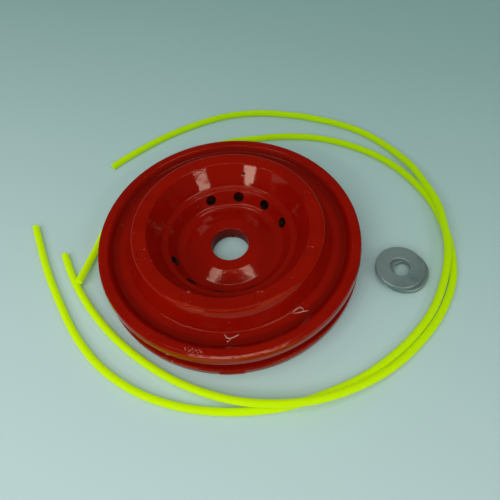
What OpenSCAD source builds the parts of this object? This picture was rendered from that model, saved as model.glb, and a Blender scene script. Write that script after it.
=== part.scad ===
// Fixed-line cutting head for a brush cutter: a one-piece die-cast bowl with a line groove
// round it, two pre-cut nylon lines laid round it and the two washers that clamp it.
// Millimetres, +Z up. The origin is on the bore axis, at the hub's lower seat.

/* [Head casting] */
// Diameter of both flanges
head_d = 138; // [134:1:142]
// Height of the casting, from the foot rim to the top of the ring
head_h = 27.2; // [26:0.2:32]
// Bore that centres the head on the drive flange
bore_d = 20; // [16:0.1:22]
// Thickness of the hub between its two seats
hub_t = 7.8; // [7:0.1:8.4]
// Diameter of the seat under the hub
hub_d = 35; // [30:1:38]
// Drop of the foot rim below the hub's seat
foot_drop = 1.3; // [1:0.1:2]

/* [Flanges and groove] */
// Thickness of the lower flange at its rim
flange_t = 4.9; // [4.4:0.1:6]
// Width of the line groove at the rims
groove_w = 7.9; // [6:0.1:9]
// Diameter of the groove's inner wall
groove_d = 69.2; // [66:0.2:72]
// Draft of the groove's two side walls, in degrees
groove_draft = 0.8; // [0.5:0.1:1.5]
// Thickness of the upper flange, over its raised lip
lip_t = 6.1; // [5:0.1:7]
// Depth of the gutter behind the lip
gutter_depth = 2.6; // [1.5:0.1:3.4]

/* [Bowl and ring] */
// Diameter of the bowl's mouth, at the ring's inner edge
mouth_d = 83.4; // [80:0.2:86]
// Diameter of the ring's outer edge
ring_d = 97.6; // [94:0.2:100]
// Diameter of the ring where it meets the gutter
ring_base_d = 107.8; // [104:0.2:114]
// Diameter at which the bowl's cone meets the ledge above the hole band
step_d = 71.2; // [70:0.2:73]
// Width of the ledge between the cone and the hole band
ledge_w = 3.1; // [2.7:0.1:3.5]
// Diameter of the bowl's floor, at the foot of the hole band
floor_d = 55.6; // [54:0.2:57]
// Diameter of the clamping seat in the middle of the floor
seat_d = 32.4; // [28:0.2:34]
// Diameter of the circle where the sloping floor meets the valley
valley_d = 48.6; // [46:0.2:50]
// Fall of the floor from the seat to the valley, in degrees
floor_slope = 13.6; // [8:0.2:16]

/* [Line holes] */
// Diameter of each line hole
hole_d = 5.8; // [4:0.1:6.4]
// Holes in each of the two groups
holes_per_group = 4; // [2:1:5]
// Angle from one hole to the next
hole_pitch = 30; // [26:1:34]
// Angle from level at which the holes run down and out
hole_tilt = 30; // [20:1:34]
// Turn of the first hole from +X
hole_turn = 17; // [0:1:60]

/* [Underside] */
// Ribs across the cored pocket round the hub
rib_count = 8; // [4:1:12]
// Thickness of a rib at its foot
rib_t = 3; // [2:0.1:4]
// Wall left between the pocket and the valley
floor_wall = 3.2; // [2.8:0.1:3.4]

/* [Washers] */
// Outer diameter of a washer
washer_d = 25; // [24:0.5:28]
// Bore of a washer
washer_bore_d = 10.5; // [8:0.1:13]
// Thickness of a washer
washer_t = 3; // [2:0.1:4]

/* [Cutting line] */
// Diameter of the nylon line
line_d = 3.5; // [2.4:0.1:3.6]

/* [Hidden] */
$fn = 96;

// Heights above the hub's lower seat
foot_z = -foot_drop;
flange_z = foot_z + flange_t;
groove_z = flange_z + groove_w;
lip_z = groove_z + lip_t;
gutter_z = lip_z - gutter_depth;
ring_z = foot_z + head_h;
valley_z = hub_t - (valley_d - seat_d) / 2 * tan(floor_slope);
pocket_z = valley_z - floor_wall;
web_z = 0.6;

// Radii
rim_r = head_d / 2;
groove_r = groove_d / 2;
pocket_r = 28.5;
core_r = 37.5;
band_r = step_d / 2 - ledge_w;
hole_r = band_r - 2;
foot_in = rim_r - 6.4;
web_in = rim_r - 8.4;
lip_in = rim_r - 5.4;
gutter_in = rim_r - 8.2;

// The hole band climbs from the floor to the ledge, which rises a little to the cone's foot
band_z = hub_t + 5.5;
step_z = band_z + ledge_w * tan(12);
band_slope = (band_z - valley_z) / (band_r - floor_d / 2);
hole_z = valley_z + (hole_r - floor_d / 2) * band_slope;

// How far the pin that cores a line hole reaches into the bowl, and out into the groove
pin_in = 8;
pin_out = (groove_r - hole_r + hole_d / 2 * sin(hole_tilt)) / cos(hole_tilt) + 0.85;

// Where the lower washer lies, and how far the upper one has slid on it
lower_at = [rim_r + 20.7, -rim_r / 3];
upper_slip = [-2.6, 0.6];

// What the draft takes from the groove between its rim and its inner wall
draft_rise = (rim_r - groove_r) * tan(groove_draft);

red = [0.62, 0.09, 0.03];
zinc = [0.45, 0.49, 0.48];
lime = [0.74, 0.95, 0.02];

// ---- Profiles -------------------------------------------------------------

function unit(v) = v / norm(v);
function turn_of(a, b) = a[0] * b[1] - a[1] * b[0];

// One corner of a closed outline, rounded by an arc that is tangent to both of its sides
function corner(prev, here, next, rad, steps) =
    let (
        back = unit(prev - here),
        on = unit(next - here),
        half = acos(back * on) / 2,
        centre = here + unit(back + on) * rad / sin(half),
        start = here + back * rad / tan(half) - centre,
        side = turn_of(back, on) > 0 ? -1 : 1,
        sweep = side * (180 - 2 * half)
    )
    [for (i = [0:steps])
        let (a = sweep * i / steps)
        centre + [start[0] * cos(a) - start[1] * sin(a), start[0] * sin(a) + start[1] * cos(a)]];

// A closed outline given as [radius, height, corner radius]
function rounded(pts, steps = 4) =
    let (n = len(pts))
    [for (i = [0:n - 1])
        let (
            p = pts[i],
            here = [p[0], p[1]],
            a = pts[(i + n - 1) % n],
            b = pts[(i + 1) % n]
        )
        each p[2] == 0 ? [here] : corner([a[0], a[1]], here, [b[0], b[1]], p[2], steps)];

// Section of the casting, from the bore out along the underside, round the groove,
// over the lip and the ring, and down the bowl to the bore's upper mouth
function head_section() = [
    [bore_d / 2, 0, 0],
    [hub_d / 2, 0, 0.4],
    [hub_d / 2 + 0.2, pocket_z, 0.9],
    [pocket_r - 0.2, pocket_z, 0.9],
    [pocket_r, 0, 0.4],
    [core_r, 0, 0.3],
    [core_r + 0.6, web_z, 0.3],
    [web_in, web_z, 0.8],
    [foot_in, foot_z, 0.5],
    [rim_r, foot_z, 1.2],
    [rim_r, flange_z, 1.2],
    [groove_r, flange_z + draft_rise, 1.5],
    [groove_r, groove_z - draft_rise, 1.5],
    [rim_r, groove_z, 1.2],
    [rim_r, lip_z, 2.1],
    [lip_in, lip_z, 0.9],
    [gutter_in, gutter_z, 0.9],
    [ring_base_d / 2, gutter_z - 0.35, 1],
    [ring_d / 2, ring_z, 1.8],
    [mouth_d / 2, ring_z - 0.4, 0.9],
    [step_d / 2, step_z, 2.5],
    [band_r, band_z, 0.8],
    [floor_d / 2, valley_z, 3.5],
    [valley_d / 2, valley_z, 5],
    [seat_d / 2, hub_t, 5],
    [bore_d / 2, hub_t, 0.6]
];

// ---- Head casting ---------------------------------------------------------

// A drafted rib from the hub to the core wall, set back a little from the seat
module rib() {
    top = rib_t / 2 - 0.15;
    rotate([90, 0, 90])
        translate([0, 0, hub_d / 2 - 1])
        linear_extrude(pocket_r - hub_d / 2 + 2)
        polygon([
            [-top, 0.5],
            [top, 0.5],
            [rib_t / 2, pocket_z + 1],
            [-rib_t / 2, pocket_z + 1]
        ]);
}

// A line hole, from the open bowl through the hole band into the groove
module line_hole() {
    translate([hole_r, 0, hole_z])
        rotate([0, 90 + hole_tilt, 0])
        translate([0, 0, -pin_in])
        cylinder(d = hole_d, h = pin_in + pin_out);
}

// The broken-off gate, left a little proud of the lower flange
module gate_stub() {
    rotate([0, 0, -98])
        rotate_extrude(angle = 10)
        polygon([
            [rim_r - 3, foot_z + 1.4],
            [rim_r + 0.1, foot_z + 1.4],
            [rim_r + 0.5, foot_z + 1.8],
            [rim_r + 0.5, flange_z - 1.8],
            [rim_r + 0.1, flange_z - 1.4],
            [rim_r - 3, flange_z - 1.4]
        ]);
}

module head_casting() {
    color(red)
        difference() {
            union() {
                rotate_extrude()
                    polygon(rounded(head_section()));
                for (i = [0:rib_count - 1])
                    rotate([0, 0, hole_turn + i * 360 / rib_count])
                        rib();
                gate_stub();
            }
            for (group = [0:1], i = [0:holes_per_group - 1])
                rotate([0, 0, hole_turn + group * 180 + i * hole_pitch])
                    line_hole();
        }
}

// ---- Washers --------------------------------------------------------------

module washer() {
    r = washer_bore_d / 2;
    color(zinc)
        rotate_extrude()
        polygon(rounded([
            [r, 0, 0.3],
            [washer_d / 2, 0, 0.4],
            [washer_d / 2, washer_t, 0.4],
            [r, washer_t, 0.3]
        ], 3));
}

module washer_lower() {
    translate([each lower_at, foot_z])
        washer();
}

// The upper washer lies on the lower one, a little off centre
module washer_upper() {
    translate([each lower_at + upper_slip, foot_z + washer_t])
        washer();
}

// ---- Cutting lines --------------------------------------------------------

// Route points as [x, y, lift], where lift is how far the line is raised off the table.
// The first line bridges the second on the right.
route_1 = [
    [-71, 72, 0], [-40, 94, 0], [-4, 108, 0], [35, 107, 0], [71, 94, 0],
    [100, 69, 0], [114, 47, 2], [119, 28, 3.5], [119, 8, 4], [115, -12, 3.5],
    [107, -30, 2], [91, -53, 0], [60, -75, 0], [23, -86, 0], [-16, -85, 0],
    [-53, -71, 0], [-81, -42, 0], [-99, -7, 0], [-113, 30, 0]
];

// The second line bridges the first at the front
route_2 = [
    [-81, -7, 0], [-69, 33, 0], [-44, 65, 0], [-6, 83, 0], [35, 85, 0],
    [75, 74, 0], [106, 47, 0], [118, 8, 0], [113, -32, 0], [88, -64, 0],
    [65, -77, 2], [45, -84, 3.5], [25, -85, 4], [5, -83, 3.5], [-14, -78, 2],
    [-37, -66, 0], [-61, -46, 0], [-79, -21, 0], [-93, 7, 0]
];

// A smooth curve through four neighbouring points, at t between the middle two
function blend(a, b, c, d, t) =
    (2 * b + (c - a) * t + (2 * a - 5 * b + 4 * c - d) * t * t + (3 * b - a - 3 * c + d) * t * t * t) / 2;

function held_up(p) = [p[0], p[1], foot_z + line_d / 2 + max(0, p[2])];

// The points of the curve, with two rings to each span of the route
function curve(route, spans = 2) =
    let (
        n = len(route),
        pts = [2 * route[0] - route[1], each route, 2 * route[n - 1] - route[n - 2]]
    )
    [for (i = [0:(n - 1) * spans])
        let (k = min(floor(i / spans), n - 2), t = i / spans - k)
        held_up(blend(pts[k], pts[k + 1], pts[k + 2], pts[k + 3], t))];

function ring(here, along, rad, sides) =
    let (across = unit(cross(along, [0, 0, 1])), up = cross(across, along))
    [for (j = [0:sides - 1])
        let (a = 360 * j / sides)
        here + rad * (across * cos(a) + up * sin(a))];

// A round bar swept along a curve, with flat cut ends
module swept_line(route, sides = 8) {
    path = curve(route);
    n = len(path);
    rings = [for (i = [0:n - 1])
        ring(path[i], unit(path[min(i + 1, n - 1)] - path[max(i - 1, 0)]), line_d / 2, sides)];
    walls = [for (i = [0:n - 2], j = [0:sides - 1])
        let (a = i * sides + j, b = i * sides + (j + 1) % sides)
        [a, b, b + sides, a + sides]];
    start_cap = [for (j = [sides - 1:-1:0]) j];
    end_cap = [for (j = [0:sides - 1]) (n - 1) * sides + j];
    polyhedron([for (r = rings) each r], [start_cap, each walls, end_cap], convexity = 6);
}

module trimmer_line_1() {
    color(lime)
        swept_line(route_1);
}

module trimmer_line_2() {
    color(lime)
        swept_line(route_2);
}

head_casting();
washer_lower();
washer_upper();
trimmer_line_1();
trimmer_line_2();
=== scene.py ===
"""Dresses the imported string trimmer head: paint, steel, nylon line and studio.

The head casting, both washers and both cutting lines are rebuilt here in mesh code with
their fillets, holes and casting marks. Everything is in metres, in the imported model's frame:
+Z up, with the origin on the bore's axis at the hub's lower seat.
"""

import logging
import math
from dataclasses import dataclass, field
from enum import Enum

import bmesh
import bpy
from mathutils import Matrix, Vector


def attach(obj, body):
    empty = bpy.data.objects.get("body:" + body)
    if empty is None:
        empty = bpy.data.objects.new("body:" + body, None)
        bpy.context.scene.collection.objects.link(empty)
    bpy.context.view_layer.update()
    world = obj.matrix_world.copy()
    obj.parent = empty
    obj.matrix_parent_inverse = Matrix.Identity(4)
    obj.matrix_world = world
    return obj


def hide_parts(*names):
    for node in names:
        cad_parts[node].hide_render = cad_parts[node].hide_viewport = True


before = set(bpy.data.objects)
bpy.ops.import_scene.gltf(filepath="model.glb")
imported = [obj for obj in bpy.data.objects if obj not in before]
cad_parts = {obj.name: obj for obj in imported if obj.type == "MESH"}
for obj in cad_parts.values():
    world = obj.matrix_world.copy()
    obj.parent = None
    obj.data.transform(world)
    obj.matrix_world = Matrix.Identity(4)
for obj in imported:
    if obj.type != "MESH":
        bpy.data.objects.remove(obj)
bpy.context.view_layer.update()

LOG = logging.getLogger("trimmer_head")
MM = 0.001
FOOT_Z = -1.3


def mm(*values: float) -> Vector:
    """Turns millimetres into a vector in metres."""
    return Vector([v * MM for v in values])


# ---- Mesh helpers -----------------------------------------------------------


@dataclass(frozen=True)
class Corner:
    """One corner of a turned section, in millimetres.

    Args:
        radius: Distance from the axis.
        height: Height above the hub's lower seat.
        rounding: Radius of the corner's rounding, 0 where it stays sharp.
        steps: Segments in the rounding.
    """

    radius: float
    height: float
    rounding: float = 0.0
    steps: int = 6


def setback(prev: Corner, here: Corner, nxt: Corner) -> float:
    """Finds how far a corner's rounding reaches along its sides.

    Args:
        prev: The corner before it.
        here: The corner.
        nxt: The corner after it.

    Returns:
        The distance from the corner to where its arc starts, in millimetres.
    """
    back = Vector((prev.radius - here.radius, prev.height - here.height))
    on = Vector((nxt.radius - here.radius, nxt.height - here.height))
    return here.rounding / math.tan(back.angle(on) / 2)


def turn_section(section: list[Corner], segments: int) -> bmesh.types.BMesh:
    """Spins a closed section round Z and rounds its ring edges.

    Args:
        section: The section's corners in order.
        segments: Steps in a full turn.

    Returns:
        The turned solid, with its normals pointing outwards.
    """
    bm = bmesh.new()
    verts = [bm.verts.new(mm(c.radius, 0, c.height)) for c in section]
    edges = [bm.edges.new((a, b)) for a, b in zip(verts, verts[1:] + verts[:1])]
    bmesh.ops.spin(bm, geom=verts + edges, cent=(0, 0, 0), axis=(0, 0, 1), angle=math.tau,
                   steps=segments, use_merge=True, use_duplicate=False)
    bmesh.ops.remove_doubles(bm, verts=bm.verts, dist=1e-7)
    bmesh.ops.recalc_face_normals(bm, faces=bm.faces)
    count = len(section)
    for i, here in enumerate(section):
        if here.rounding <= 0:
            continue
        reach = setback(section[i - 1], here, section[(i + 1) % count])
        ring = [e for e in bm.edges if all(on_ring(v, here) for v in e.verts)]
        bmesh.ops.bevel(bm, geom=ring, offset=reach * MM, offset_type="OFFSET",
                        segments=here.steps, profile=0.5, affect="EDGES", material=-1)
    return bm


def on_ring(vert: bmesh.types.BMVert, corner: Corner) -> bool:
    """Says whether a vertex lies on the circle that a corner sweeps."""
    return (abs(math.hypot(vert.co.x, vert.co.y) - corner.radius * MM) < 2e-6
            and abs(vert.co.z - corner.height * MM) < 2e-6)


def finish_piece(name: str, bm: bmesh.types.BMesh, material: bpy.types.Material,
                 sharp_deg: float = 32.0) -> bpy.types.Object:
    """Makes an object of a mesh, smooth except at its sharp edges.

    Args:
        name: The piece's name.
        bm: Its mesh, which is freed here.
        material: Its finish.
        sharp_deg: Angle past which an edge stays sharp.

    Returns:
        The object, at the origin.
    """
    mesh = bpy.data.meshes.new(name)
    for face in bm.faces:
        face.smooth = True
    bm.to_mesh(mesh)
    bm.free()
    mesh.set_sharp_from_angle(angle=math.radians(sharp_deg))
    piece = bpy.data.objects.new(name, mesh)
    bpy.context.scene.collection.objects.link(piece)
    if material is not None:
        mesh.materials.append(material)
    return piece


def weighted_normals(piece: bpy.types.Object) -> None:
    """Keeps broad faces flat beside their roundings."""
    mod = piece.modifiers.new("weighted_normals", "WEIGHTED_NORMAL")
    mod.mode = "FACE_AREA"
    mod.weight = 60
    mod.keep_sharp = True


def apply_modifiers(piece: bpy.types.Object) -> None:
    """Bakes a piece's modifiers into its mesh."""
    graph = bpy.context.evaluated_depsgraph_get()
    baked = bpy.data.meshes.new_from_object(piece.evaluated_get(graph))
    piece.modifiers.clear()
    piece.data = baked


# ---- Shader helpers ---------------------------------------------------------


class Wiring:
    """Adds nodes to a tree and links them by socket name."""

    def __init__(self, tree: bpy.types.NodeTree) -> None:
        """Keeps the tree that is wired."""
        self.tree = tree

    def node(self, kind: str, **settings: object) -> bpy.types.Node:
        """Adds one node.

        Args:
            kind: The node's type name.
            **settings: Attributes of the node to set.

        Returns:
            The node.
        """
        made = self.tree.nodes.new(kind)
        for key, value in settings.items():
            setattr(made, key, value)
        return made

    def feed(self, target: bpy.types.Node, socket: object, source: object) -> None:
        """Sets or links one input.

        Args:
            target: The node that is fed.
            socket: Its input, by name or number.
            source: An output socket, or a plain value.
        """
        if isinstance(source, bpy.types.NodeSocket):
            self.tree.links.new(source, target.inputs[socket])
        else:
            target.inputs[socket].default_value = source

    def math(self, operation: str, a: object, b: object = 0.0, c: object = 0.0,
             clamp: bool = False) -> bpy.types.NodeSocket:
        """Adds a Math node.

        Args:
            operation: The operation's name.
            a: First value or socket.
            b: Second value or socket.
            c: Third value or socket.
            clamp: Whether the result is held between 0 and 1.

        Returns:
            The result's socket.
        """
        made = self.node("ShaderNodeMath", operation=operation, use_clamp=clamp)
        for i, value in enumerate((a, b, c)):
            self.feed(made, i, value)
        return made.outputs[0]

    def smooth(self, value: object, low: float, high: float) -> bpy.types.NodeSocket:
        """Maps a value smoothly to 0..1 between two limits."""
        made = self.node("ShaderNodeMapRange", interpolation_type="SMOOTHSTEP")
        self.feed(made, "Value", value)
        self.feed(made, "From Min", low)
        self.feed(made, "From Max", high)
        return made.outputs["Result"]

    def noise(self, vector: object, scale: float, detail: float = 2.0,
              rough: float = 0.5) -> bpy.types.NodeSocket:
        """Adds a Noise texture and gives its value."""
        made = self.node("ShaderNodeTexNoise")
        self.feed(made, "Vector", vector)
        self.feed(made, "Scale", scale)
        self.feed(made, "Detail", detail)
        self.feed(made, "Roughness", rough)
        return made.outputs["Fac"]

    def mix(self, factor: object, a: object, b: object) -> bpy.types.NodeSocket:
        """Mixes two colours."""
        made = self.node("ShaderNodeMix", data_type="RGBA")
        self.feed(made, 0, factor)
        self.feed(made, 6, a)
        self.feed(made, 7, b)
        return made.outputs[2]

    def split(self, vector: bpy.types.NodeSocket) -> bpy.types.bpy_prop_collection:
        """Gives the three parts of a vector."""
        parts = self.node("ShaderNodeSeparateXYZ")
        self.feed(parts, "Vector", vector)
        return parts.outputs

    def bump(self, shader: bpy.types.Node, height: object, distance: float,
             strength: float) -> None:
        """Gives a shader a relief.

        Args:
            shader: The shader whose normal it bends.
            height: The relief's height, 0 to 1.
            distance: The depth that a height of 1 stands for, in metres.
            strength: How much of it shows.
        """
        relief = self.node("ShaderNodeBump")
        self.feed(relief, "Height", height)
        self.feed(relief, "Distance", distance)
        self.feed(relief, "Strength", strength)
        self.feed(shader, "Normal", relief.outputs[0])


def new_group(name: str, inputs: dict[str, float], outputs: list[str]) -> tuple:
    """Starts a shader node group that reads Object coordinates.

    Args:
        name: The group's name.
        inputs: Names and defaults of its float inputs.
        outputs: Names of its float outputs.

    Returns:
        The tree, its wiring, its input node and its output node.
    """
    tree = bpy.data.node_groups.new(name, "ShaderNodeTree")
    tree.interface.new_socket("Vector", in_out="INPUT", socket_type="NodeSocketVector")
    for key, value in inputs.items():
        made = tree.interface.new_socket(key, in_out="INPUT", socket_type="NodeSocketFloat")
        made.default_value = value
    for key in outputs:
        tree.interface.new_socket(key, in_out="OUTPUT", socket_type="NodeSocketFloat")
    wire = Wiring(tree)
    return tree, wire, wire.node("NodeGroupInput"), wire.node("NodeGroupOutput")


def surface_wear_group() -> bpy.types.NodeTree:
    """Builds the group of fine surface relief, blotches and specks.

    Returns:
        A group with outputs Relief, Blotch and Specks.
    """
    tree, wire, start, end = new_group(
        "surface_wear", {"Grain Scale": 700.0, "Speck Scale": 260.0, "Speck Share": 0.04},
        ["Relief", "Blotch", "Specks"])
    where = start.outputs["Vector"]
    grain = wire.node("ShaderNodeTexNoise")
    wire.feed(grain, "Vector", where)
    wire.feed(grain, "Scale", start.outputs["Grain Scale"])
    wire.feed(grain, "Detail", 1.5)
    wire.feed(end, "Relief", grain.outputs["Fac"])
    wire.feed(end, "Blotch", wire.noise(where, 38.0, 4.0, 0.6))
    cells = wire.node("ShaderNodeTexVoronoi", feature="F1")
    wire.feed(cells, "Vector", where)
    wire.feed(cells, "Scale", start.outputs["Speck Scale"])
    near = wire.math("SUBTRACT", 0.16, cells.outputs["Distance"])
    near = wire.smooth(near, 0.0, 0.08)
    lot = wire.node("ShaderNodeSeparateColor")
    wire.feed(lot, "Color", cells.outputs["Color"])
    picked = wire.math("LESS_THAN", lot.outputs[0], start.outputs["Speck Share"])
    wire.feed(end, "Specks", wire.math("MULTIPLY", near, picked))
    return tree


class SurfaceWear:
    """Places the shared surface group in a material."""

    tree: bpy.types.NodeTree = None

    @classmethod
    def place(cls, wire: Wiring, vector: bpy.types.NodeSocket, grain: float, speck: float,
              share: float) -> bpy.types.Node:
        """Adds the group with a material's own values.

        Args:
            wire: The material's wiring.
            vector: Coordinates on the piece.
            grain: Scale of the fine relief.
            speck: Scale of the specks.
            share: Share of cells that hold a speck.

        Returns:
            The group's node.
        """
        if cls.tree is None:
            cls.tree = surface_wear_group()
        made = wire.node("ShaderNodeGroup", node_tree=cls.tree)
        wire.feed(made, "Vector", vector)
        wire.feed(made, "Grain Scale", grain)
        wire.feed(made, "Speck Scale", speck)
        wire.feed(made, "Speck Share", share)
        return made


def new_material(name: str) -> tuple:
    """Starts a material with a Principled shader.

    Args:
        name: The material's name.

    Returns:
        The material, its wiring, its shader node and its Object coordinates.
    """
    made = bpy.data.materials.new(name)
    made.use_nodes = True
    made.node_tree.nodes.clear()
    wire = Wiring(made.node_tree)
    shader = wire.node("ShaderNodeBsdfPrincipled")
    out = wire.node("ShaderNodeOutputMaterial")
    wire.feed(out, "Surface", shader.outputs[0])
    coords = wire.node("ShaderNodeTexCoord")
    return made, wire, shader, coords.outputs["Object"]


@dataclass(frozen=True)
class PaintFinish:
    """Gloss red powder coat over a die casting.

    Pairs are the two ends of a soft step, in metres. The coat is darkened in the gutter as
    painted shade, and its highlights are tinted warmer on the rim and on the ring's outer crown
    as a painted reflection.
    """

    name: str = "red_powder_coat"
    base: tuple = (0.25, 0.0035, 0.0006, 1.0)
    deep: tuple = (0.215, 0.0025, 0.0005, 1.0)
    # Colour of the painted shade in the gutter.
    painted_gutter_shade: tuple = (0.150, 0.0020, 0.0005, 1.0)
    dust: tuple = (0.42, 0.16, 0.12, 1.0)
    roughness: float = 0.070
    shine: float = 0.5
    gloss_tint: tuple = (1.0, 0.70, 0.54, 1.0)
    # Highlight tint on the rim and the ring's outer crown, a painted orange reflection.
    painted_rim_reflection_tint: tuple = (1.0, 0.42, 0.16, 1.0)
    gutter_shade_in: tuple = (0.0560, 0.0595)
    gutter_shade_out: tuple = (0.0640, 0.0620)
    gutter_shade_below: tuple = (0.0176, 0.0160)
    rim_in: tuple = (0.0664, 0.0674)
    rim_below: tuple = (0.0174, 0.0168)
    crown_in: tuple = (0.0470, 0.0478)
    crown_out: tuple = (0.0512, 0.0500)
    crown_above: tuple = (0.0222, 0.0236)
    peel_scale: float = 125.0
    peel_depth: float = 0.00026

    @classmethod
    def thin(cls) -> "PaintFinish":
        """Gives the thin dull coat inside the bore, its darker base a painted shade."""
        return cls("thin_red_coat", (0.14, 0.003, 0.001, 1.0), (0.10, 0.002, 0.001, 1.0),
                   roughness=0.4, shine=0.1)

    def build(self) -> bpy.types.Material:
        """Builds the paint.

        Returns:
            The material.
        """
        made, wire, shader, where = new_material(self.name)
        wear = SurfaceWear.place(wire, where, 620.0, 420.0, 0.05)
        tone = wire.smooth(wear.outputs["Blotch"], 0.35, 0.65)
        colour = wire.mix(tone, self.deep, self.base)
        x, y, height = wire.split(where)
        across = wire.math("POWER", x, 2.0)
        radius = wire.math("SQRT", wire.math("MULTIPLY_ADD", y, y, across))
        # Painted shade: the coat is darkened in the gutter between the ring and the lip.
        gutter = wire.math("MULTIPLY", wire.smooth(radius, *self.gutter_shade_in),
                           wire.smooth(radius, *self.gutter_shade_out))
        gutter = wire.math("MULTIPLY", gutter, wire.smooth(height, *self.gutter_shade_below))
        colour = wire.mix(gutter, colour, self.painted_gutter_shade)
        specks = wire.math("MULTIPLY", wear.outputs["Specks"], 0.35)
        wire.feed(shader, "Base Color", wire.mix(specks, colour, self.dust))
        rough = wire.math("MULTIPLY_ADD", wear.outputs["Blotch"], 0.04, self.roughness - 0.02)
        wire.feed(shader, "Roughness", rough)
        shader.inputs["Specular IOR Level"].default_value = self.shine
        # Painted reflection: highlights on the rim and on the ring's outer crown are tinted
        # orange by place.
        rim = wire.math("MULTIPLY", wire.smooth(radius, *self.rim_in),
                        wire.smooth(height, *self.rim_below))
        crown = wire.math("MULTIPLY", wire.smooth(radius, *self.crown_in),
                          wire.smooth(radius, *self.crown_out))
        crown = wire.math("MULTIPLY", crown, wire.smooth(height, *self.crown_above))
        edge = wire.math("ADD", rim, crown, clamp=True)
        wire.feed(shader, "Specular Tint", wire.mix(edge, self.gloss_tint, self.painted_rim_reflection_tint))
        peel = wire.noise(where, self.peel_scale, 3.0, 0.42)
        relief = wire.math("MULTIPLY_ADD", wear.outputs["Relief"], 0.12, peel)
        wire.bump(shader, relief, self.peel_depth, 0.5)
        return made


@dataclass(frozen=True)
class BareAndShadeFinish:
    """Near-black casting finish: painted shade in the line holes, bare skin on the chip, pale
    where paint has chipped.
    """

    name: str = "bare_casting_and_hole_shade"
    # Near-black: painted shade on the line holes' walls and the bare skin of the chip.
    base: tuple = (0.012, 0.0035, 0.0025, 1.0)
    worn: tuple = (0.045, 0.018, 0.013, 1.0)
    roughness: float = 0.65
    shine: float = 0.15

    @classmethod
    def pale(cls) -> "BareAndShadeFinish":
        """Gives the pale finish of chips, flash and dried specks."""
        return cls("pale_flash", (0.44, 0.20, 0.15, 1.0), (0.62, 0.40, 0.33, 1.0), 0.35, 0.5)

    def build(self) -> bpy.types.Material:
        """Builds the bare skin.

        Returns:
            The material.
        """
        made, wire, shader, where = new_material(self.name)
        wear = SurfaceWear.place(wire, where, 900.0, 700.0, 0.15)
        tone = wire.smooth(wear.outputs["Relief"], 0.45, 0.75)
        wire.feed(shader, "Base Color", wire.mix(tone, self.base, self.worn))
        rough = wire.math("MULTIPLY_ADD", wear.outputs["Blotch"], 0.2, self.roughness - 0.1)
        wire.feed(shader, "Roughness", rough)
        shader.inputs["Specular IOR Level"].default_value = self.shine
        wire.bump(shader, wear.outputs["Relief"], 0.0001, 0.6)
        return made


@dataclass(frozen=True)
class ZincFinish:
    """Dull grey zinc plate, brighter on its rounded edges, partly rubbed wear and partly a
    painted glint.
    """

    base: tuple = (0.052, 0.096, 0.095, 1.0)
    bright: tuple = (0.205, 0.290, 0.280, 1.0)
    # Colour of the rounded edges: rubbed wear and a painted glint.
    worn: tuple = (0.62, 0.68, 0.66, 1.0)

    def build(self) -> bpy.types.Material:
        """Builds the plating.

        Returns:
            The material.
        """
        made, wire, shader, where = new_material("dull_zinc")
        wear = SurfaceWear.place(wire, where, 900.0, 700.0, 0.12)
        stretched = wire.node("ShaderNodeMapping")
        wire.feed(stretched, "Vector", where)
        wire.feed(stretched, "Rotation", (0.0, 0.0, 0.9))
        wire.feed(stretched, "Scale", (1.0, 9.0, 1.0))
        brushed = wire.noise(stretched.outputs[0], 260.0, 3.0, 0.6)
        tone = wire.math("MULTIPLY_ADD", brushed, 0.5, 0.1)
        blotch = wire.math("MULTIPLY", wear.outputs["Blotch"], 0.5)
        tone = wire.math("ADD", tone, blotch, clamp=True)
        # Rounded edges are lightened, partly rubbed wear and partly a painted glint.
        rub_and_glint = wire.node("ShaderNodeAttribute", attribute_name="edge").outputs["Fac"]
        rub_and_glint = wire.math("MULTIPLY", rub_and_glint, wire.smooth(wear.outputs["Blotch"], 0.3, 0.5))
        plated = wire.mix(tone, self.base, self.bright)
        wire.feed(shader, "Base Color", wire.mix(rub_and_glint, plated, self.worn))
        wire.feed(shader, "Metallic", wire.math("MULTIPLY_ADD", rub_and_glint, 0.5, 0.35))
        dull = wire.math("MULTIPLY_ADD", wear.outputs["Blotch"], 0.25, 0.30)
        wire.feed(shader, "Roughness", wire.math("MULTIPLY_ADD", rub_and_glint, -0.12, dull))
        height = wire.math("ADD", wear.outputs["Relief"], wire.math("MULTIPLY", brushed, 0.6))
        wire.bump(shader, height, 0.00006, 0.6)
        return made


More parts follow.
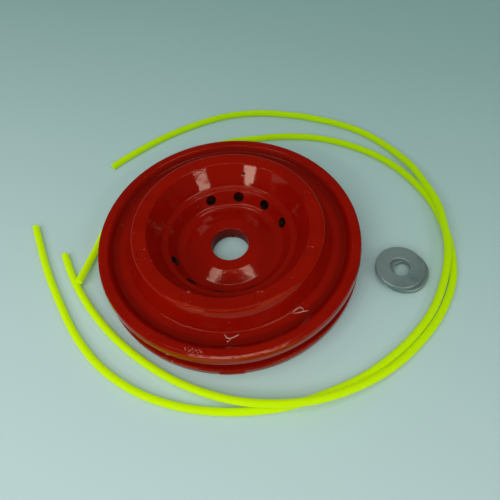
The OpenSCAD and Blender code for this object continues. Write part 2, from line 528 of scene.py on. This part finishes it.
@dataclass(frozen=True)
class NylonFinish:
    """Extruded fluorescent nylon line, with a little painted glow and a painted shade along one
    direction.

    The direction is a unit vector in X and Y, and the painted shade's two ends are in metres
    along it.
    """

    # Lit and shaded colours of a painted shade along the direction.
    near: tuple = (0.395, 0.56, 0.0010, 1.0)
    painted_shade_far: tuple = (0.22, 0.40, 0.0006, 1.0)
    # Colour of the painted glow.
    shine: tuple = (0.50, 0.74, 0.001, 1.0)
    gloss_tint: tuple = (1.0, 1.0, 0.25, 1.0)
    glow: float = 0.36
    direction: tuple = (0.55, 0.83)
    painted_shade_span: tuple = (-0.08, 0.11)

    def build(self) -> bpy.types.Material:
        """Builds the nylon.

        Returns:
            The material.
        """
        made, wire, shader, where = new_material("lime_nylon")
        wear = SurfaceWear.place(wire, where, 500.0, 600.0, 0.05)
        # Painted shade: the line darkens from its near colour to its far colour along the
        # direction.
        x, y, _ = wire.split(where)
        along = wire.math("MULTIPLY", y, self.direction[1])
        along = wire.math("MULTIPLY_ADD", x, self.direction[0], along)
        along = wire.math("MULTIPLY_ADD", wear.outputs["Blotch"], 0.02, along)
        tone = wire.smooth(along, *self.painted_shade_span)
        wire.feed(shader, "Base Color", wire.mix(tone, self.near, self.painted_shade_far))
        shader.inputs["Roughness"].default_value = 0.4
        shader.inputs["Specular IOR Level"].default_value = 0.12
        shader.inputs["Specular Tint"].default_value = self.gloss_tint
        shader.inputs["Subsurface Weight"].default_value = 0.7
        shader.inputs["Subsurface Radius"].default_value = (1.0, 1.0, 0.1)
        shader.inputs["Subsurface Scale"].default_value = 0.002
        # Painted glow: the emission stands in for the line's fluorescence and evens its shading,
        # stronger at the lit end.
        shader.inputs["Emission Color"].default_value = self.shine
        wire.feed(shader, "Emission Strength",
                  wire.math("MULTIPLY_ADD", tone, -0.25 * self.glow, self.glow))
        wire.bump(shader, wear.outputs["Relief"], 0.00003, 0.2)
        return made


@dataclass(frozen=True)
class TableFinish:
    """Plain pale table top, with painted shade that darkens it towards the back."""

    # Lit and shaded colours of the painted shade.
    near: tuple = (0.54, 0.66, 0.65, 1.0)
    painted_shade_far: tuple = (0.25, 0.40, 0.38, 1.0)
    turn_deg: float = 25.3
    painted_shade_span: tuple = (-0.24, 0.30)

    def build(self) -> bpy.types.Material:
        """Builds the table top.

        Returns:
            The material.
        """
        made, wire, shader, where = new_material("pale_table")
        slope = wire.node("ShaderNodeMapping")
        wire.feed(slope, "Vector", where)
        wire.feed(slope, "Rotation", (0.0, 0.0, math.radians(self.turn_deg)))
        along = wire.split(slope.outputs[0])[1]
        cloud = wire.math("MULTIPLY_ADD", wire.noise(where, 5.0, 2.0), 0.03, -0.015)
        # Painted shade: the top darkens from its near colour towards the back.
        tone = wire.smooth(wire.math("ADD", along, cloud), *self.painted_shade_span)
        wire.feed(shader, "Base Color", wire.mix(tone, self.near, self.painted_shade_far))
        shader.inputs["Roughness"].default_value = 0.6
        shader.inputs["Specular IOR Level"].default_value = 0.3
        return made


# ---- The head casting -------------------------------------------------------


@dataclass
class HeadCasting:
    """The one-piece bowl, ring, flanges and hub. Sizes are in millimetres."""

    paint: bpy.types.Material
    # bare is near-black: painted shade on the line holes' walls and bare skin on the chip.
    bare: bpy.types.Material
    pale: bpy.types.Material
    # thin is the bore's dull coat, whose darker base is painted shade.
    thin: bpy.types.Material
    rim: float = 69.0
    bore: float = 10.0
    hub_top: float = 7.8
    seat: float = 16.2
    valley: float = 24.3
    valley_top: float = 5.84
    floor: float = 27.8
    ledge_in: float = 32.5
    ledge_out: float = 35.2
    ledge_top: float = 13.3
    hub: float = 17.5
    pocket: float = 28.5
    pocket_top: float = 2.64
    core: float = 37.5
    web: float = 0.6
    groove: float = 34.6
    flange_top: float = 3.6
    groove_top: float = 11.5
    draft: float = 0.48
    lip_top: float = 17.6
    gutter: float = 15.0
    ring_top: float = 25.9
    hole: float = 2.9
    hole_radius: float = 30.5
    hole_height: float = 10.13
    hole_tilt_deg: float = 30.0
    hole_pitch_deg: float = 30.0
    hole_turn_deg: float = 17.0
    mark_radius: float = 44.6
    mark: float = 2.85
    segments: int = 288

    def section(self) -> list[Corner]:
        """Gives the casting's section, from the bore round the underside and back.

        Returns:
            The corners in order.
        """
        return [
            Corner(self.bore, 0),
            Corner(self.hub, 0, 0.4, 3),
            Corner(self.hub + 0.2, self.pocket_top, 0.9, 4),
            Corner(self.pocket - 0.2, self.pocket_top, 0.9, 4),
            Corner(self.pocket, 0, 0.4, 3),
            Corner(self.core, 0, 0.3, 3),
            Corner(self.core + 0.6, self.web, 0.3, 3),
            Corner(self.rim - 8.4, self.web, 0.8, 3),
            Corner(self.rim - 6.4, FOOT_Z, 0.5, 3),
            Corner(self.rim, FOOT_Z, 1.2, 6),
            Corner(self.rim, self.flange_top, 1.2, 6),
            Corner(self.groove, self.flange_top + self.draft, 1.5, 5),
            Corner(self.groove, self.groove_top - self.draft, 1.5, 5),
            Corner(self.rim, self.groove_top, 1.2, 6),
            Corner(self.rim - 0.25, self.lip_top - 2.4, 0.9, 5),
            Corner(self.rim - 0.8, self.lip_top - 0.6, 0.4, 4),
            Corner(self.rim - 2.2, self.lip_top, 0.7, 5),
            Corner(self.rim - 5.4, self.lip_top, 0.9, 5),
            Corner(self.rim - 8.2, self.gutter, 0.9, 5),
            Corner(53.9, self.gutter - 0.35, 1.0, 5),
            Corner(48.8, self.ring_top, 1.8, 8),
            Corner(41.7, self.ring_top - 0.4, 0.9, 6),
            Corner(self.ledge_out, self.ledge_top + 0.66, 2.5, 8),
            Corner(self.ledge_in, self.ledge_top, 1.1, 6),
            Corner(self.floor, self.valley_top, 3.5, 8),
            Corner(self.valley, self.valley_top, 5.0, 6),
            Corner(self.seat, self.hub_top, 5.0, 6),
            Corner(self.bore, self.hub_top, 0.6, 5),
        ]

    def hole_angles(self) -> list[float]:
        """Gives the directions of the eight line holes, in radians."""
        return [math.radians(self.hole_turn_deg + 180 * side + self.hole_pitch_deg * i)
                for side in range(2) for i in range(4)]

    def hole_cutters(self) -> bpy.types.Object:
        """Builds the pins that core the line holes and press the ejector marks.

        Returns:
            One object with all the pins.
        """
        bm = bmesh.new()
        tilt = Matrix.Rotation(math.radians(90 + self.hole_tilt_deg), 4, "Y")
        place = Matrix.Translation(mm(self.hole_radius, 0, self.hole_height))
        down = Matrix.Translation(mm(0, 0, -0.2))
        for angle in self.hole_angles():
            bmesh.ops.create_cone(
                bm, cap_ends=True, segments=40, radius1=self.hole * MM, radius2=self.hole * MM,
                depth=15.6 * MM, matrix=Matrix.Rotation(angle, 4, "Z") @ place @ tilt @ down)
        lean = Matrix.Rotation(math.radians(-3.2), 4, "Y")
        flat = Matrix.Translation(mm(self.mark_radius, 0, self.ring_top - 0.24))
        for i in range(8):
            turn = Matrix.Rotation(math.radians(self.hole_turn_deg + 45 * i), 4, "Z")
            bmesh.ops.create_cone(
                bm, cap_ends=True, segments=48, radius1=(self.mark - 0.2) * MM,
                radius2=(self.mark + 0.2) * MM, depth=0.6 * MM, matrix=turn @ flat @ lean)
        return finish_piece("hole_cutters", bm, None)

    def round_hole_edges(self, mesh: bpy.types.Mesh) -> None:
        """Breaks the sharp edges of the line holes.

        Args:
            mesh: The casting's mesh, after the holes are cut.
        """
        bm = bmesh.new()
        bm.from_mesh(mesh)
        for face in bm.faces:
            if all(self.on_hole(v.co) for v in face.verts):
                # Hole walls take the near-black finish, a painted shade inside the holes.
                face.material_index = Skin.BARE.value
            elif all(math.hypot(v.co.x, v.co.y) < (self.bore + 0.1) * MM for v in face.verts):
                # The bore's wall takes the dull coat with its painted shade.
                face.material_index = Skin.THIN.value
        edges = []
        for edge in bm.edges:
            if len(edge.link_faces) != 2 or edge.calc_face_angle(0.0) < math.radians(25):
                continue
            if all(self.on_hole(v.co) for v in edge.verts):
                edges.append(edge)
        bmesh.ops.bevel(bm, geom=edges, offset=0.28 * MM, offset_type="OFFSET", segments=3,
                        profile=0.5, affect="EDGES", clamp_overlap=True, material=-1)
        bm.to_mesh(mesh)
        bm.free()

    def on_hole(self, point: Vector) -> bool:
        """Says whether a point lies on the wall of a line hole."""
        tilt = math.radians(self.hole_tilt_deg)
        for angle in self.hole_angles():
            out = Vector((math.cos(angle), math.sin(angle), 0))
            axis = out * math.cos(tilt) - Vector((0, 0, math.sin(tilt)))
            centre = out * self.hole_radius * MM + Vector((0, 0, self.hole_height * MM))
            away = point - centre
            if abs((away - axis * away.dot(axis)).length - self.hole * MM) < 0.02 * MM:
                return True
        return False

    def add_ribs(self, bm: bmesh.types.BMesh) -> None:
        """Adds the ribs across the cored pocket, as plain boxes.

        Args:
            bm: The mesh that takes them.
        """
        length = self.pocket - self.hub + 2
        for i in range(8):
            turn = Matrix.Rotation(math.radians(self.hole_turn_deg + 45 * i), 4, "Z")
            place = Matrix.Translation(mm(self.hub - 1 + length / 2, 0, 2.05))
            size = Matrix.Diagonal((length * MM, 2.85 * MM, 3.1 * MM, 1))
            bmesh.ops.create_cube(bm, size=1.0, matrix=turn @ place @ size)

    def add_gate(self, bm: bmesh.types.BMesh) -> None:
        """Adds the broken-off gate, a little proud of the lower flange.

        Args:
            bm: The mesh that takes it.
        """
        start = Matrix.Rotation(math.radians(-98), 4, "Z")
        side = [(66.0, 0.1), (69.1, 0.1), (69.5, 0.5), (69.5, 1.8), (69.1, 2.2), (66.0, 2.2)]
        verts = [bm.verts.new(start @ mm(r, 0, z)) for r, z in side]
        face = bm.faces.new(verts)
        bmesh.ops.spin(bm, geom=[face, *face.edges, *face.verts], cent=(0, 0, 0),
                       axis=(0, 0, 1), angle=math.radians(10), steps=14)
        bmesh.ops.recalc_face_normals(bm, faces=bm.faces)

    def build(self) -> list[bpy.types.Object]:
        """Builds the casting.

        Returns:
            The finished pieces.
        """
        piece = finish_piece("casting_body", turn_section(self.section(), self.segments),
                             self.paint)
        for skin in (self.bare, self.pale, self.thin):
            piece.data.materials.append(skin)
        cutters = self.hole_cutters()
        cut = piece.modifiers.new("line_holes", "BOOLEAN")
        cut.operation = "DIFFERENCE"
        cut.solver = "EXACT"
        cut.object = cutters
        apply_modifiers(piece)
        bpy.data.objects.remove(cutters)
        self.round_hole_edges(piece.data)
        bm = bmesh.new()
        bm.from_mesh(piece.data)
        self.add_ribs(bm)
        self.add_gate(bm)
        CastingFaults().add(bm)
        for face in bm.faces:
            face.smooth = True
        bm.to_mesh(piece.data)
        bm.free()
        piece.data.set_sharp_from_angle(angle=math.radians(32))
        weighted_normals(piece)
        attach(piece, "head")
        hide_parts("head_casting")
        return [piece]


class Skin(Enum):
    """Which of the casting's finishes a detail takes."""

    PAINT = 0
    BARE = 1
    PALE = 2
    THIN = 3


@dataclass(frozen=True)
class Lump:
    """A small rounded blob on the casting. Sizes are in millimetres.

    Args:
        radius: Distance from the axis.
        turn_deg: Direction from +X.
        height: Height above the hub's lower seat.
        size: Half its extent outwards, along the rim and upwards.
        lean_deg: Turn about the rim's direction.
        skin: Its finish.
    """

    radius: float
    turn_deg: float
    height: float
    size: tuple
    lean_deg: float = 0.0
    skin: Skin = Skin.PALE


@dataclass(frozen=True)
class Bead:
    """A thin raised thread of paint or flash. Sizes are in millimetres.

    Args:
        points: Its points, each as radius, direction from +X in degrees and height.
        width: Its diameter.
        skin: Its finish.
    """

    points: tuple
    width: float = 0.4
    skin: Skin = Skin.PALE

    def add(self, bm: bmesh.types.BMesh) -> None:
        """Adds the thread, drawn thin at both ends.

        Args:
            bm: The mesh that takes it.
        """
        path = [Matrix.Rotation(math.radians(turn), 4, "Z") @ mm(radius, 0, height)
                for radius, turn, height in self.points]
        rings = []
        for i, point in enumerate(path):
            along = path[min(i + 1, len(path) - 1)] - path[max(i - 1, 0)]
            lift = Vector((point.x, point.y, 1.4 * math.hypot(point.x, point.y))).normalized()
            side = along.cross(lift).normalized()
            half = self.width / 2 * MM * (0.3 if i in (0, len(path) - 1) else 1.0)
            rings.append([bm.verts.new(point + (side * math.cos(a) + lift * math.sin(a)) * half)
                          for a in (math.tau * k / 8 for k in range(8))])
        faces = [bm.faces.new((a[k], a[k - 1], b[k - 1], b[k]))
                 for a, b in zip(rings, rings[1:]) for k in range(8)]
        faces += [bm.faces.new(rings[0]), bm.faces.new(rings[-1])]
        for face in faces:
            face.material_index = self.skin.value
        bmesh.ops.recalc_face_normals(bm, faces=faces)


def scratches() -> list[Bead]:
    """Gives the short crossed strokes of dried paint on the lip."""
    made = []
    for i in range(13):
        radius = 65.4 + 0.75 * math.sin(2.3 * i)
        turn = -110.9 + 0.62 * i
        reach = 0.45 + 0.3 * math.sin(5.1 * i)
        tilt = 0.35 * math.cos(3.7 * i)
        made.append(Bead(((radius - reach, turn - tilt, 17.6), (radius, turn, 17.63),
                          (radius + reach, turn + tilt, 17.6)), 0.24 + 0.08 * math.sin(1.9 * i)))
    return made


def slivers() -> list[Bead]:
    """Gives the broken line of flash along the lower flange."""
    made = []
    for i in range(6):
        turn = -131.4 + 1.95 * i
        radius = 66.7 + 0.06 * math.sin(2.6 * i)
        made.append(Bead(((radius, turn, 3.62), (radius + 0.06, turn + 0.8, 3.68),
                          (radius + 0.04, turn + 1.7 + 0.2 * math.sin(1.3 * i), 3.62)),
                         0.44 + 0.08 * math.sin(4.1 * i)))
    return made


def mark_rims() -> list[Bead]:
    """Gives the raised rims of the eight ejector marks, which follow the ring's slope."""
    ring_in, rise, rim_radius, sides = 41.7, 0.0563, 3.05, 24
    made = []
    for i in range(8):
        points = []
        for k in range(sides + 1):
            angle = math.tau * k / sides
            away = Vector((math.cos(angle), math.sin(angle)))
            spot = Vector((HeadCasting.mark_radius, 0.0)) + rim_radius * away
            height = HeadCasting.ring_top - 0.4 + (spot.length - ring_in) * rise
            turn = HeadCasting.hole_turn_deg + 45 * i + math.degrees(math.atan2(spot.y, spot.x))
            points.append((spot.length, turn, height))
        made.append(Bead(tuple(points), 0.32, Skin.PAINT))
    return made


@dataclass
class CastingFaults:
    """Flash, drips, specks and a chip, as on any cheap painted die casting."""

    lumps: tuple = (
        Lump(67.2, -135.6, 17.2, (0.38, 0.42, 0.16), 20.0),
        Lump(63.4, -96.3, 17.0, (0.25, 0.3, 0.12)),
        Lump(65.1, -110.8, 17.56, (0.2, 0.2, 0.12)),
        Lump(39.1, 73.4, 20.6, (0.95, 1.05, 0.26), -62.0, Skin.BARE),
        Lump(38.6, 72.6, 20.2, (0.28, 0.62, 0.34), -62.0),
        Lump(38.5, 75.0, 19.6, (0.34, 0.52, 0.28), -62.0),
        # A small near-black lump at the bore's lower edge.
        Lump(9.95, 81.0, 0.3, (0.35, 1.0, 0.4), 0.0, Skin.BARE),
        Lump(58.7, -93.8, 14.9, (0.45, 0.40, 0.18)),
    )
    beads: tuple = (
        Bead(((55.2, -95.4, 14.75), (55.9, -94.9, 14.80), (56.9, -94.3, 14.84),
              (57.3, -93.1, 14.86), (57.2, -92.2, 14.86), (56.8, -91.0, 14.84),
              (56.3, -89.8, 14.80), (55.7, -88.4, 14.75)), 0.52),
        Bead(((57.2, -92.6, 14.86), (57.9, -92.7, 14.88), (58.5, -93.1, 14.9)), 0.45),
        Bead(((54.9, -60.2, 14.72), (54.5, -58.6, 14.80), (54.4, -57.2, 14.82),
              (54.5, -55.9, 14.82), (55.0, -54.8, 14.82), (56.0, -54.5, 14.82),
              (57.2, -55.1, 14.85)), 0.42),
        Bead(((55.3, -59.6, 14.75), (56.4, -57.5, 14.82), (57.4, -55.4, 14.86),
              (58.0, -54.4, 14.88), (58.9, -53.2, 14.9)), 0.50),
        Bead(((68.1, -117.6, 3.66), (68.75, -117.5, 3.4), (69.02, -117.4, 2.4),
              (69.02, -117.4, 0.6)), 0.22),
        Bead(((68.1, -83.6, 3.66), (68.75, -83.6, 3.4), (69.02, -83.6, 2.4),
              (69.02, -83.6, 0.6)), 0.22, Skin.PAINT),
        *scratches(),
        *slivers(),
        *mark_rims(),
    )

    def add(self, bm: bmesh.types.BMesh) -> None:
        """Adds every fault.

        Args:
            bm: The casting's mesh.
        """
        for lump in self.lumps:
            turn = Matrix.Rotation(math.radians(lump.turn_deg), 4, "Z")
            place = Matrix.Translation(mm(lump.radius, 0, lump.height))
            lean = Matrix.Rotation(math.radians(lump.lean_deg), 4, "Y")
            made = bmesh.ops.create_icosphere(
                bm, subdivisions=2, radius=MM,
                matrix=turn @ place @ lean @ Matrix.Diagonal((*lump.size, 1.0)))
            for face in {f for v in made["verts"] for f in v.link_faces}:
                face.material_index = lump.skin.value
        for bead in self.beads:
            bead.add(bm)


# ---- The washers ------------------------------------------------------------


class WasherPlace(Enum):
    """Where each washer lies: its node, its body, its centre and its lower face."""

    LOWER = ("washer_lower", "lower_washer", 89.7, -23.0, FOOT_Z)
    UPPER = ("washer_upper", "upper_washer", 87.1, -22.4, FOOT_Z + 3.0)


@dataclass
class Washer:
    """A plain steel clamping washer. Sizes are in millimetres."""

    place: WasherPlace
    zinc: bpy.types.Material
    outer: float = 12.5
    bore: float = 5.25
    thick: float = 3.0
    edge_rub_and_glint: float = 1.6

    def build(self) -> bpy.types.Object:
        """Builds the washer.

        Returns:
            The finished piece.
        """
        node, body, x, y, z = self.place.value
        section = [
            Corner(self.bore, 0, 0.3, 4),
            Corner(self.outer, 0, 0.4, 5),
            Corner(self.outer, self.thick, 0.4, 5),
            Corner(self.bore, self.thick, 0.3, 4),
        ]
        bm = turn_section(section, 128)
        bm.normal_update()
        # The edge value marks the rounded edges for the zinc's rubbed wear and painted glint.
        edge = bm.verts.layers.float.new("edge")
        for vert in bm.verts:
            out = math.hypot(vert.normal.x, vert.normal.y)
            vert[edge] = min(1.0, self.edge_rub_and_glint * min(abs(vert.normal.z), out))
        bmesh.ops.translate(bm, verts=bm.verts, vec=mm(x, y, z))
        piece = finish_piece(f"{node}_steel", bm, self.zinc)
        weighted_normals(piece)
        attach(piece, body)
        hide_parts(node)
        return piece


# ---- The cutting lines ------------------------------------------------------


# Each route's points in millimetres: x, y and the lift off the table.
ROUTES = {
    "trimmer_line_1": [
        (-71, 72, 0), (-58.2, 81.6, 0), (-39, 93.6, 0), (-18.4, 102.7, 0), (3.6, 108.6, 0),
        (26.4, 108.4, 0), (48.3, 103, 0), (60, 98.6, 0), (74.5, 91.6, 0), (88.5, 82, 0),
        (100.2, 69.2, 0), (109, 54, 1.2), (113.2, 42.4, 2.3), (117.2, 22, 3.8),
        (117.7, 8.5, 4.1), (114.9, -12.5, 3.7), (107.8, -31.2, 2), (97.3, -47.4, 0.4),
        (83, -60.9, 0), (67.1, -71.4, 0), (50.3, -79.1, 0), (24, -86, 0), (5.8, -87.2, 0),
        (-12.9, -85.7, 0), (-31.9, -81, 0), (-50.5, -72.4, 0), (-67.2, -59.4, 0),
        (-80.9, -42.2, 0), (-91.8, -22.3, 0), (-102.2, 0.3, 0), (-113, 30, 0),
    ],
    "trimmer_line_2": [
        (-81.9, -12.2, 3.2), (-76.5, 5.5, 1.2), (-66.5, 34, 0), (-44, 65, 0), (-6, 82, 0),
        (23.8, 84.7, 0), (42.2, 83.9, 0), (60.9, 79.7, 0), (78.9, 71.1, 0), (95.3, 58.4, 0),
        (107.8, 42, 0), (116.2, 21.8, 0), (118.4, 4, 0), (118.2, -10.5, 0), (112.9, -31.1, 0),
        (101.2, -49.2, 0), (86, -63.6, 0), (69, -74.9, 1.2), (50.8, -82.4, 3.2),
        (32.7, -86.1, 4), (14.9, -85.9, 4), (-2.2, -82.8, 3.2), (-18.8, -76.3, 1.2),
        (-34.3, -67.6, 0), (-48.6, -56.9, 0), (-61.9, -44.1, 0), (-74.2, -28.6, 0),
        (-85.3, -10.2, 0), (-93.1, 8.2, 0),
    ],
}


@dataclass
class CuttingLine:
    """A loose pre-cut length of nylon line. Sizes are in millimetres."""

    node: str
    nylon: bpy.types.Material
    length: float
    diameter: float = 3.5
    swell: float = 0.25

    def route(self) -> list[Vector]:
        """Gives the route's points in metres, at the middle of the line."""
        rest = FOOT_Z + (self.diameter + self.swell) / 2
        return [mm(x, y, rest + lift) for x, y, lift in ROUTES[self.node]]

    def build(self) -> bpy.types.Object:
        """Builds the line as one smooth curve through its route.

        Returns:
            The finished piece.
        """
        points = self.route()
        data = bpy.data.curves.new(f"{self.node}_nylon", "CURVE")
        data.dimensions = "3D"
        data.bevel_depth = (self.diameter + self.swell) / 2 * MM
        data.bevel_resolution = 6
        data.resolution_u = 12
        data.use_fill_caps = True
        spline = data.splines.new("BEZIER")
        spline.bezier_points.add(len(points) - 1)
        lowest = min(point.z for point in points)
        ahead = [2 * points[0] - points[1], *points, 2 * points[-1] - points[-2]]
        for i, knot in enumerate(spline.bezier_points):
            reach = (ahead[i + 2] - ahead[i]) / 6
            knot.co = points[i]
            knot.handle_left_type = knot.handle_right_type = "FREE"
            knot.handle_left = points[i] - reach
            knot.handle_right = points[i] + reach
            knot.handle_left.z = max(knot.handle_left.z, lowest)
            knot.handle_right.z = max(knot.handle_right.z, lowest)
        piece = bpy.data.objects.new(f"{self.node}_nylon", data)
        bpy.context.scene.collection.objects.link(piece)
        data.materials.append(self.nylon)
        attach(piece, "head")
        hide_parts(self.node)
        return piece


# ---- The studio -------------------------------------------------------------


@dataclass(frozen=True)
class Lamp:
    """A soft rectangular lamp. Sizes are in metres.

    Args:
        name: What the lamp is.
        centre: Its middle.
        width: Its side along X.
        depth: Its other side.
        glow: Its radiance.
        mirrored: Whether glossy surfaces show it.
        aimed: Whether it faces the head instead of straight down.
    """

    name: str
    centre: tuple
    width: float
    depth: float
    glow: float
    mirrored: bool = True
    aimed: bool = False

    def place(self) -> bpy.types.Object:
        """Adds the lamp to the scene.

        Returns:
            The lamp.
        """
        data = bpy.data.lights.new(self.name, "AREA")
        data.shape = "RECTANGLE"
        data.size, data.size_y = self.width, self.depth
        data.energy = self.glow * math.pi * self.width * self.depth
        data.color = (0.96, 1.0, 0.98)
        made = bpy.data.objects.new(self.name, data)
        made.location = self.centre
        if self.aimed:
            made.rotation_euler = (-Vector(self.centre)).to_track_quat("-Z", "Y").to_euler()
        made.visible_glossy = self.mirrored
        made.visible_camera = False
        bpy.context.scene.collection.objects.link(made)
        return made


@dataclass
class Studio:
    """Camera, lamps, sky and table."""

    view_from: tuple = (10.36, -145.24, 222.18)
    elevation_deg: float = 56.85
    roll_deg: float = 5.56
    focal: float = 34.64
    sky: tuple = (0.395, 0.44, 0.44, 1.0)
    walls: tuple = (0.07, 0.05, 0.035, 1.0)
    backdrop: tuple = (0.40, 0.52, 0.50, 1.0)
    lamps: list[Lamp] = field(default_factory=lambda: [
        Lamp("tube_near", (-0.066, 0.108, 1.2), 0.73, 0.014, 8.0),
        Lamp("tube_far", (-0.066, 0.232, 1.2), 0.73, 0.014, 8.0),
        Lamp("panel_left", (-0.330, 0.150, 1.2), 0.20, 0.11, 3.8),
        Lamp("panel_right", (0.190, 0.150, 1.2), 0.23, 0.11, 4.4),
        Lamp("tube_front_high", (0.05, -0.62, 1.2), 1.30, 0.07, 4.5),
        Lamp("tube_front_left", (-1.25, -1.05, 1.20), 1.20, 0.10, 10.0, aimed=True),
        Lamp("tube_front_right", (1.05, -1.15, 1.20), 1.10, 0.10, 10.0, aimed=True),
        Lamp("window_left", (-1.70, -2.44, 0.46), 0.72, 0.30, 7.6, aimed=True),
        Lamp("window_right", (1.35, -2.68, 0.46), 0.80, 0.30, 6.0, aimed=True),
        Lamp("wall_left", (-2.90, -0.60, 0.22), 1.60, 0.40, 0.5, aimed=True),
        Lamp("soft_key", (-0.27, -0.34, 0.60), 0.70, 0.70, 1.45, mirrored=False, aimed=True),
    ])

    def camera(self) -> None:
        """Places the camera and makes it the scene's own."""
        rise, roll = math.radians(self.elevation_deg), math.radians(self.roll_deg)
        ahead = Vector((0, math.cos(rise), -math.sin(rise)))
        level = Vector((1, 0, 0))
        down = Vector((0, -math.sin(rise), -math.cos(rise)))
        right = level * math.cos(roll) + down * math.sin(roll)
        below = down * math.cos(roll) - level * math.sin(roll)
        turn = Matrix((right, -below, -ahead)).transposed()
        data = bpy.data.cameras.new("view")
        data.lens = self.focal
        data.sensor_width = 36.0
        data.sensor_fit = "HORIZONTAL"
        data.clip_start = 0.01
        camera = bpy.data.objects.new("view", data)
        camera.matrix_world = Matrix.Translation(mm(*self.view_from)) @ turn.to_4x4()
        bpy.context.scene.collection.objects.link(camera)
        bpy.context.scene.camera = camera

    def light(self) -> None:
        """Places the lamps, the dim sky and the pale backdrop."""
        for lamp in self.lamps:
            lamp.place()
        world = bpy.data.worlds.new("sky")
        world.use_nodes = True
        wire = Wiring(world.node_tree)
        rays = wire.node("ShaderNodeLightPath")
        tone = wire.mix(rays.outputs["Is Glossy Ray"], self.sky, self.walls)
        tone = wire.mix(rays.outputs["Is Camera Ray"], tone, self.backdrop)
        wire.feed(world.node_tree.nodes["Background"], "Color", tone)
        bpy.context.scene.world = world
        bpy.context.scene.view_settings.view_transform = "Standard"

    def table(self) -> None:
        """Lays the table top under the head."""
        bm = bmesh.new()
        bmesh.ops.create_grid(bm, x_segments=1, y_segments=1, size=2.5)
        bmesh.ops.translate(bm, verts=bm.verts, vec=mm(0, 0, FOOT_Z))
        top = finish_piece("table_top", bm, TableFinish().build())


def main() -> None:
    """Builds the studio and every piece."""
    logging.basicConfig(level=logging.INFO, format="%(name)s: %(message)s")
    studio = Studio()
    studio.camera()
    nylon = NylonFinish().build()
    for node, length in (("trimmer_line_1", 603.0), ("trimmer_line_2", 600.0)):
        line = CuttingLine(node, nylon, length).build()
        LOG.info("%s built, %.0f mm long", line.name, length)
    finishes = (PaintFinish().build(), BareAndShadeFinish().build(), BareAndShadeFinish.pale().build(),
                PaintFinish.thin().build())
    for piece in HeadCasting(*finishes).build():
        LOG.info("%s built, %d faces", piece.name, len(piece.data.polygons))
    zinc = ZincFinish().build()
    for place in WasherPlace:
        washer = Washer(place, zinc).build()
        LOG.info("%s built, %d faces", washer.name, len(washer.data.polygons))
    studio.light()
    studio.table()
    bpy.context.view_layer.update()


if __name__ == "__main__":
    main()
